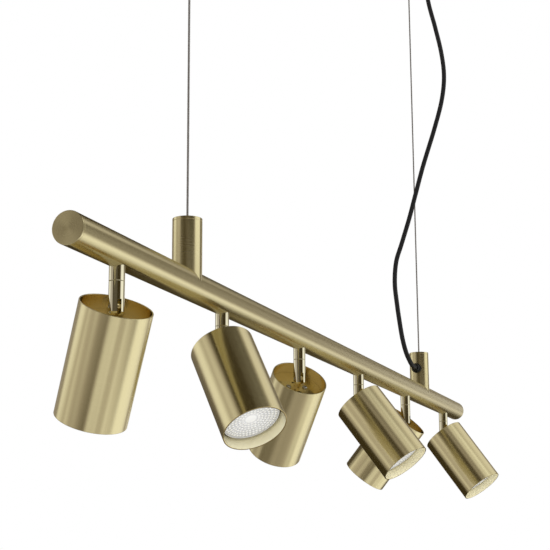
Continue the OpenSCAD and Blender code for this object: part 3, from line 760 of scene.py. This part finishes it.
def lampholder(i):
    """Ceramic holder on two posts, with a deep hole for each of the lamp's pins."""
    holder = turned([(0, -29.5), (13, -29.5), (13, -15.5), (0, -15.5)], 64, closed=False)
    cut(holder, *[rod(2.7, -32, -22.5, at=(x, 0, 0)) for x in (PIN_X, -PIN_X)])
    soften(holder, 0.5, 2)
    for s in (-1, 1):
        join(holder, rod(2.5, -19.5, DISC_FOOT - 0.02, at=(0, POST_Y * s, 0), segments=32))
    piece(holder, f"holder_body_{i}", f"head_{i}", WHITE_CERAMIC,
          [f"lampholder_{i}"], at_head(i))


def disc_screws(i):
    """The two cross-head screws over the disc, each stopped at its own angle."""
    shank_r, head_r, head_top = 1.5, 2.6, -8.9
    screws = []
    for s in (-1, 1):
        screw = turned([(0, -19.5), (shank_r, -19.5), (shank_r, DISC_TOP), (head_r, DISC_TOP),
                        (head_r, -9.5), (1.9, head_top), (0, head_top)], 32, closed=False)
        soften(screw, 0.15, 2, above=25, where=lambda e: min(v.co.z for v in e.verts) > -11)
        cross_slot(screw, 2.8, 0.55, 1.4, head_top)
        screw.transform(Matrix.Translation((0, POST_Y * s, 0))
                        @ Matrix.Rotation(math.radians(31 + 40 * s), 4, "Z"))
        screws.append(screw)
    piece(join(*screws), f"disc_screws_{i}", f"head_{i}", ZINC_STEEL, (),
          at_head(i))


def lamp_cup(i):
    """White cup of the reflector lamp, with two headed pins."""
    face_r, rim = 25, -79.5
    cup = turned([(0, -29.8), (12.5, -29.8), (14, -42.2), (face_r, -74.5), (face_r, rim),
                  (24.3, rim), (24.3, -76.5), (23.1, -76.5), (23.1, -75.5), (12.1, -44.2),
                  (0, -44.2)], closed=False)
    soften(cup, 0.2, 2)
    for s in (-1, 1):
        pin = turned([(0, -30), (1.5, -30), (1.5, -25.8), (2.4, -25.8), (2.4, -22.8),
                      (0, -22.8)], 24, closed=False)
        soften(pin, 0.3, 2)
        pin.transform(Matrix.Translation((PIN_X * s, 0, 0)))
        join(cup, pin)
    piece(cup, f"lamp_cup_{i}", f"head_{i}", LAMP_BODY, [f"bulb_{i}"],
          at_head(i))


def lamp_lens(i):
    """Clear lens with rings of small flat domes round a plain middle, carrying a painted glow
    and shade.
    """
    face, back, lens_r = -78.8, -76.6, 24.15
    rings, first_ring, ring_pitch, dome_pitch = 6, 7.2, 2.95, 3.0
    dome_r, flatness = 1.45, 0.40
    glow_r, glow_fade_r = 5, 15      # painted glow: full up to the first radius, fading towards the second
    lens = turned([(0, -79.25), (4.5, -79.1), (5.2, face), (9, face), (14, face),
                   (19, face), (lens_r, face), (lens_r, back), (0, back)], closed=False)
    painted_glow_and_shade = lens.verts.layers.float.new("painted_glow_and_shade")
    # Painted glow: the flat lens is painted brightest in its middle and greyer outwards.
    for vert in lens.verts:
        out = math.hypot(vert.co.x, vert.co.y)
        vert[painted_glow_and_shade] = 1.0 if out < glow_r else max(0.15, 0.85 - 0.70 * out / glow_fade_r)
    for ring in range(rings):
        out = first_ring + ring_pitch * ring
        count = round(FULL_TURN * out / dome_pitch)
        dome = bmesh.new()
        bmesh.ops.create_uvsphere(dome, u_segments=8, v_segments=6, radius=dome_r,
                                  matrix=Matrix.Rotation(math.pi / count * (ring % 2), 4, "Z")
                                  @ Matrix.Translation((out, 0, face))
                                  @ Matrix.Diagonal((1, 1, flatness, 1)))
        painted_glow_and_shade = dome.verts.layers.float.new("painted_glow_and_shade")
        for vert in dome.verts:
            # Painted shade: a dome is painted bright at its top and greyer at its foot, more so
            # in the outer rings.
            lift = (face - vert.co.z) / (dome_r * flatness)
            vert[painted_glow_and_shade] = 1.0 - (1.0 - max(0.0, lift)) * min(0.85, out / glow_fade_r)
        whole = list(dome.verts) + list(dome.edges) + list(dome.faces)
        bmesh.ops.spin(dome, geom=whole, cent=(0, 0, 0), axis=(0, 0, 1), steps=count - 1,
                       angle=FULL_TURN * (count - 1) / count, use_duplicate=True)
        join(lens, dome)
    piece(lens, f"lamp_lens_{i}", f"head_{i}", CLEAR_LENS, (), at_head(i))


for number in range(1, 7):
    arm_tube(number)
    pivot_bolt(number)
    shade_tube(number)
    shade_disc(number)
    lampholder(number)
    disc_screws(number)
    lamp_cup(number)
    lamp_lens(number)


# Wires

def inner_wires():
    """Loom in the bar with a lead down to each arm, and the sheath in the rose."""
    rest_z, side_y = 1.06, 8
    loom_r, drop_r, feed_r = 1.5, 1.2, 1.1
    loom = swept([Vector((x, side_y, rest_z)) for x in range(-500, 501, 100)], loom_r, 12,
                 (0, 0, 1))
    for x in [1000 * x for x in LAMP_X]:
        drop = curve_through([(x, side_y, rest_z), (x, 5, rest_z), (x, 1.6, rest_z - 0.2),
                              (x, 0.3, rest_z - 1.6), (x, 0, rest_z - 5), (x, 0, -35)], 1.5)
        join(loom, swept(drop, drop_r, 10, (1, 0, 0)))
    x = 1000 * ROPE_X
    feed = curve_through([(x, side_y, rest_z), (x, 5, rest_z), (x, 1.4, rest_z + 0.4),
                          (x, 0.2, rest_z + 2), (x, 0, rest_z + 6), (x, 0, 28),
                          (x - 0.4, 0, 31.5), (x - 2, 0, 32.9), (x - 5.5, 0, GLAND_HEIGHT)],
                         1.5)
    join(loom, swept(feed, feed_r, 10, (0.3, 1, 0)))
    piece(loom, "bar_wire_loom", "fixture", WIRE_SHEATH, ["bar_wiring"],
          on_bar(0))
    sheath_r = 1.5
    sheath = curve_through([(0, -25, -20.8), (0, -25, -18.6), (1.2, -24.3, -16.9),
                            (4, -22.3, -16.2), (8.5, -18.2, -16.2), (12.3, -12, -16.4),
                            (14, -4, -16.8), (14, 5, -17.4), (12.8, 11, -18.6),
                            (10.4, 15.4, -20.0), (8.5, 18, -20.8), (8.5, 20, -20.8)], 2.0)
    piece(swept(sheath, sheath_r, 14, (1, 0, 0.2)), "rose_wire_sheath", "fixture", WIRE_SHEATH,
          ["rose_wiring"], Matrix.Translation((ROPE_X, 0, 0)))


inner_wires()


# Hidden metalwork

def nipple():
    """Hollow threaded nipple that holds a stem to the bar."""
    return soften(tube(3.25, NECK_R, 4.44, 20.5, 48), 0.25, 2)


def saddle_nut(turn):
    """Nut with a washer that fits the bar's bore, over the axis or turned under it."""
    corner_r, foot, seat = 7.5, 4.64, 6.94
    nut = soften(tube(NECK_HOLE_R, corner_r, foot, seat, 6), 0.3, 2)
    washer = tube(NECK_HOLE_R, corner_r, seat, 8.2, 64)
    for vert in washer.verts:
        if vert.co.z > 8:
            vert.co.z = math.sqrt(PLUG_R ** 2 - vert.co.y ** 2)
    join(nut, washer)
    nut.transform(turn)
    return nut


def saddle_nuts():
    """A nut under the bar's axis for each collar, and one over it for each stem."""
    half_turn = Matrix.Rotation(math.pi, 4, "X")
    return join(in_row(lambda: saddle_nut(half_turn), LAMP_X),
                in_row(lambda: saddle_nut(Matrix()), ROPES))


def ferrule():
    """Crimped ferrule, pinched at three places, under a stem's top disc."""
    bore, outside, pinch_r = 1.05, 2.5, 2.2
    low, high, half = 40.5, 48.5, 0.7
    outline = [(bore, low), (outside, low)]
    for middle in (42.4, 44.5, 46.6):
        outline += [(outside, middle - half), (pinch_r, middle - 0.25),
                    (pinch_r, middle + 0.25), (outside, middle + half)]
    crimped = turned(outline + [(outside, high), (bore, high)], 40)
    return soften(crimped, 0.2, 2, above=60)


def ceiling_brackets():
    """Round anchor with a threaded boss, and the rose's strip with its lowered bridge."""
    anchor = turned([(4.0, -14), (6.45, -14), (6.45, -3), (14.8, -3), (14.8, 0), (4.0, 0)], 72)
    cut(anchor, *[rod(1.8, -5, 2, at=(x, 0, 0)) for x in (10, -10)])
    soften(anchor, 0.3, 2)
    piece(anchor, "ceiling_anchor", "fixture", ZINC_STEEL, ["anchor_bracket"],
          Matrix.Translation((-ROPE_X, 0, 0)))
    outline = [(-42, 0), (-42, -2), (-16, -2), (-16, -13), (16, -13), (16, -2), (42, -2),
               (42, 0), (14, 0), (14, -11), (-14, -11), (-14, 0)]
    strip = plate(outline, -9, 9)
    cut(strip, rod(GRIP_HOLE_R, -15, -9), *[rod(2.4, -4, 2, at=(x, 0, 0)) for x in (30, -30)])
    soften(strip, 0.25, 2)
    piece(strip, "rose_strip", "fixture", ZINC_STEEL, ["rose_bracket"],
          Matrix.Translation((ROPE_X, 0, 0)))


def terminal_strip():
    """Three-pole block on the rose's floor, its clamp screws, and the screw that holds it."""
    place = Matrix.Translation((ROPE_X, TERMINAL_Y * MM, 0))
    length = 34
    body = block((length, 14, 12), (0, 0, -17.8))
    poles = [(x, y) for x in (-length / 3, 0, length / 3) for y in (-3.5, 3.5)]
    cut(body, rod(1.6, -25, -18.6), *[rod(1.8, -15.8, -10, at=(x, y, 0), segments=32)
                                      for x, y in poles])
    soften(body, 0.5, 2)
    piece(body, "terminal_body", "fixture", CREAM_PLASTIC,
          ["terminal_block"], place)
    screws = []
    for x, y in poles:
        clamp = turned([(0, -15.7), (1.6, -15.7), (1.6, -13.2), (0, -13.2)], 28, closed=False)
        soften(clamp, 0.1, 1)
        cut(clamp, block((4, 0.5, 1.2), (0, 0, -13.2)))
        stopped_at = x + y      # in radians, so that no two slots line up
        clamp.transform(Matrix.Translation((x, y, 0)) @ Matrix.Rotation(stopped_at, 4, "Z"))
        screws.append(clamp)
    fixing = turned([(0, -26.2), (1.6, -26.2), (2.79, -25.5), (2.79, -25), (1.55, -25),
                     (1.55, -18.8), (0, -18.8)], 32, closed=False)
    soften(fixing, 0.1, 2)
    cross_slot(fixing, 3.4, 0.6, 1.2, -26.2)
    piece(join(*screws, fixing), "terminal_screws", "fixture", ZINC_STEEL, (),
          place)


for shape, name, node_name in ((in_row(nipple, ROPES), "threaded_nipples", "stem_nipples"),
                               (saddle_nuts(), "saddle_nuts", "bar_nuts"),
                               (in_row(ferrule, ROPES), "rope_ferrules", "cable_ferrules")):
    piece(shape, name, "fixture", ZINC_STEEL, [node_name], on_bar(0))
ceiling_brackets()
terminal_strip()


# Studio

def studio_world():
    """White to the camera. What the metal mirrors is a studio of soft panels, each given by
    its bearing, half width, soft edge, lowest and highest elevation, edge and brightness."""
    panels = [
        (292, 25, 12, -8, 30, 8, 0.90),     # soft box to the right
        (318, 24, 6, -49, -8, 8, 0.92),     # the same, lower and further back
        (282, 24, 10, -60, -36, 8, 0.72),   # its light on the ground
        (300, 48, 10, 26, 54, 6, 0.70),     # upper strip over it
        (244, 22, 10, 32, 56, 8, 0.80),     # upper strip, further round
        (208, 14, 8, 28, 42, 6, 0.45),
        (5, 15, 8, -4, 12, 6, 0.78),        # white wall ahead
        (346, 10, 6, -14, 14, 8, 0.35),     # its edge
        (356, 18, 8, 14, 27, 5, 0.17),      # its upper part, in shade
        (95, 14, 8, -4, 26, 8, 0.86),       # soft box to the left
        (108, 12, 8, -26, -4, 6, 0.40),     # its lower part
        (122, 18, 8, 24, 42, 6, 0.45),      # strip over it
        (56, 20, 10, 2, 18, 8, 0.34),       # wall to the left
        (132, 16, 10, -26, 30, 8, 0.44),    # wall behind the left soft box
        (158, 10, 7, -14, 6, 6, 0.50),
        (163, 20, 8, -40, -14, 6, 0.30),
        (132, 18, 8, -54, -28, 8, 0.16),
        (190, 24, 10, 8, 24, 6, 0.08),      # dark room behind the camera
        (203, 18, 9, -52, -34, 8, 0.90),    # lit ground behind the camera
        (240, 18, 9, -56, -38, 8, 0.60),
        (200, 180, 1, -90, -56, 10, 0.34),  # ground underneath
        (58, 44, 12, 42, 72, 10, 0.60),     # large soft box on the far side
        (240, 38, 10, -24, -5, 6, 0.50),    # wall behind the camera
    ]
    world = bpy.data.worlds.new("studio")
    bpy.context.scene.world = world
    world.use_nodes = True
    tree = world.node_tree
    tree.nodes.clear()
    way = node(tree, "TexCoord").outputs["Generated"]
    way = node(tree, "VectorMath", {0: way}, operation="NORMALIZE").outputs[0]
    height = node(tree, "SeparateXYZ", {0: way}).outputs["Z"]
    level = node(tree, "VectorMath", {0: way, 1: (1, 1, 0)}, operation="MULTIPLY")
    level = node(tree, "VectorMath", {0: level.outputs[0]}, operation="NORMALIZE")
    total = None
    for bearing, half, soft, low, high, edge, bright in panels:
        b = math.radians(bearing)
        facing = node(tree, "VectorMath", {0: level.outputs[0],
                                           1: (math.cos(b), math.sin(b), 0)},
                      operation="DOT_PRODUCT").outputs["Value"]
        outer = math.cos(math.radians(min(180, half + soft)))
        inner = math.cos(math.radians(max(0, half - soft)))
        across = node(tree, "MapRange", {"Value": facing, "From Min": outer,
                                         "From Max": inner}, interpolation_type="SMOOTHSTEP")
        if half >= 180:
            across.inputs["From Min"].default_value = -3
            across.inputs["From Max"].default_value = -2
        rise = node(tree, "MapRange", {"Value": height,
                                       "From Min": math.sin(math.radians(max(-90, low - edge))),
                                       "From Max": math.sin(math.radians(max(-89, low + edge)))
                                       }, interpolation_type="SMOOTHSTEP")
        fall = node(tree, "MapRange", {"Value": height,
                                       "From Min": math.sin(math.radians(high - edge)),
                                       "From Max": math.sin(math.radians(min(90, high + edge))),
                                       "To Min": bright, "To Max": 0.0},
                    interpolation_type="SMOOTHSTEP")
        part = node(tree, "Math", {0: across.outputs[0], 1: rise.outputs[0]},
                    operation="MULTIPLY")
        part = node(tree, "Math", {0: part.outputs[0], 1: fall.outputs[0]},
                    operation="MULTIPLY")
        total = part if total is None else node(
            tree, "Math", {0: total.outputs[0], 1: part.outputs[0]}, operation="ADD")
    ramp = node(tree, "ValToRGB", {"Fac": total.outputs[0]})
    stops = ramp.color_ramp.elements
    stops[0].color = colour((0.040, 0.029, 0.012))
    stops[1].color = colour((1.0, 0.985, 0.95))
    for place, tone in ((0.18, (0.180, 0.155, 0.125)), (0.43, (0.430, 0.386, 0.355)),
                        (0.70, (0.700, 0.665, 0.620))):
        stops.new(place).color = colour(tone)
    rays = node(tree, "LightPath")
    one_mirror = 2.5    # the depth is 1 from the camera, 2 after one mirror, 3 after two
    mean = (0.36, 0.33, 0.29)   # of the studio, for brass that mirrors brass
    again = node(tree, "Math", {0: rays.outputs["Ray Depth"], 1: one_mirror},
                 operation="GREATER_THAN")
    mirrored = node(tree, "Mix", {0: again.outputs[0], 6: ramp.outputs[0],
                                  7: colour(mean)}, data_type="RGBA")
    mix = node(tree, "Mix", {0: rays.outputs["Is Glossy Ray"], 6: (1.0, 1.0, 1.0, 1),
                             7: mirrored.outputs[2]}, data_type="RGBA")
    back = node(tree, "Background", {"Color": mix.outputs[2], "Strength": 1.0})
    node(tree, "OutputWorld", {"Surface": back.outputs[0]})
    world.cycles.sampling_method = "NONE"   # each ray sees its own background, so none is aimed


def soft_lamp(name, place, aim, size, watts):
    """Large soft lamp that lights the object without a mirror image in the brass."""
    data = bpy.data.lights.new(name, "AREA")
    data.shape, data.size, data.energy = "DISK", size, watts
    made = bpy.data.objects.new(name, data)
    bpy.context.scene.collection.objects.link(made)
    made.matrix_world = (Matrix.Translation(place)
                         @ (Vector(aim) - Vector(place)).to_track_quat("-Z", "Y")
                         .to_matrix().to_4x4())
    made.visible_glossy = False
    made.visible_camera = False


def pale_floor():
    """Round floor of a room 2.6 m high."""
    height, radius = -2.6, 22
    bm = bmesh.new()
    bmesh.ops.create_circle(bm, cap_ends=True, segments=64, radius=radius,
                            matrix=Matrix.Translation((0, 0, height)))
    mesh = bpy.data.meshes.new("floor")
    bm.to_mesh(mesh)
    bm.free()
    floor = bpy.data.objects.new("floor", mesh)
    bpy.context.scene.collection.objects.link(floor)
    mesh.materials.append(mottled("floor_paint", (0.90, 0.90, 0.895), (0.88, 0.88, 0.875),
                                  0.0, (0.7, 0.8), 1.5, 0.02))
    floor.visible_glossy = False    # the brass mirrors the studio's own darker ground


studio_world()
soft_lamp("key_lamp", (-0.6, -2.6, 1.2), aim=(0, 0, -0.6), size=2.2, watts=60)
soft_lamp("fill_lamp", (-1.8, 2.2, 0.6), aim=(0, 0, -0.6), size=2.2, watts=30)
pale_floor()

bpy.context.scene.view_settings.view_transform = "Standard"
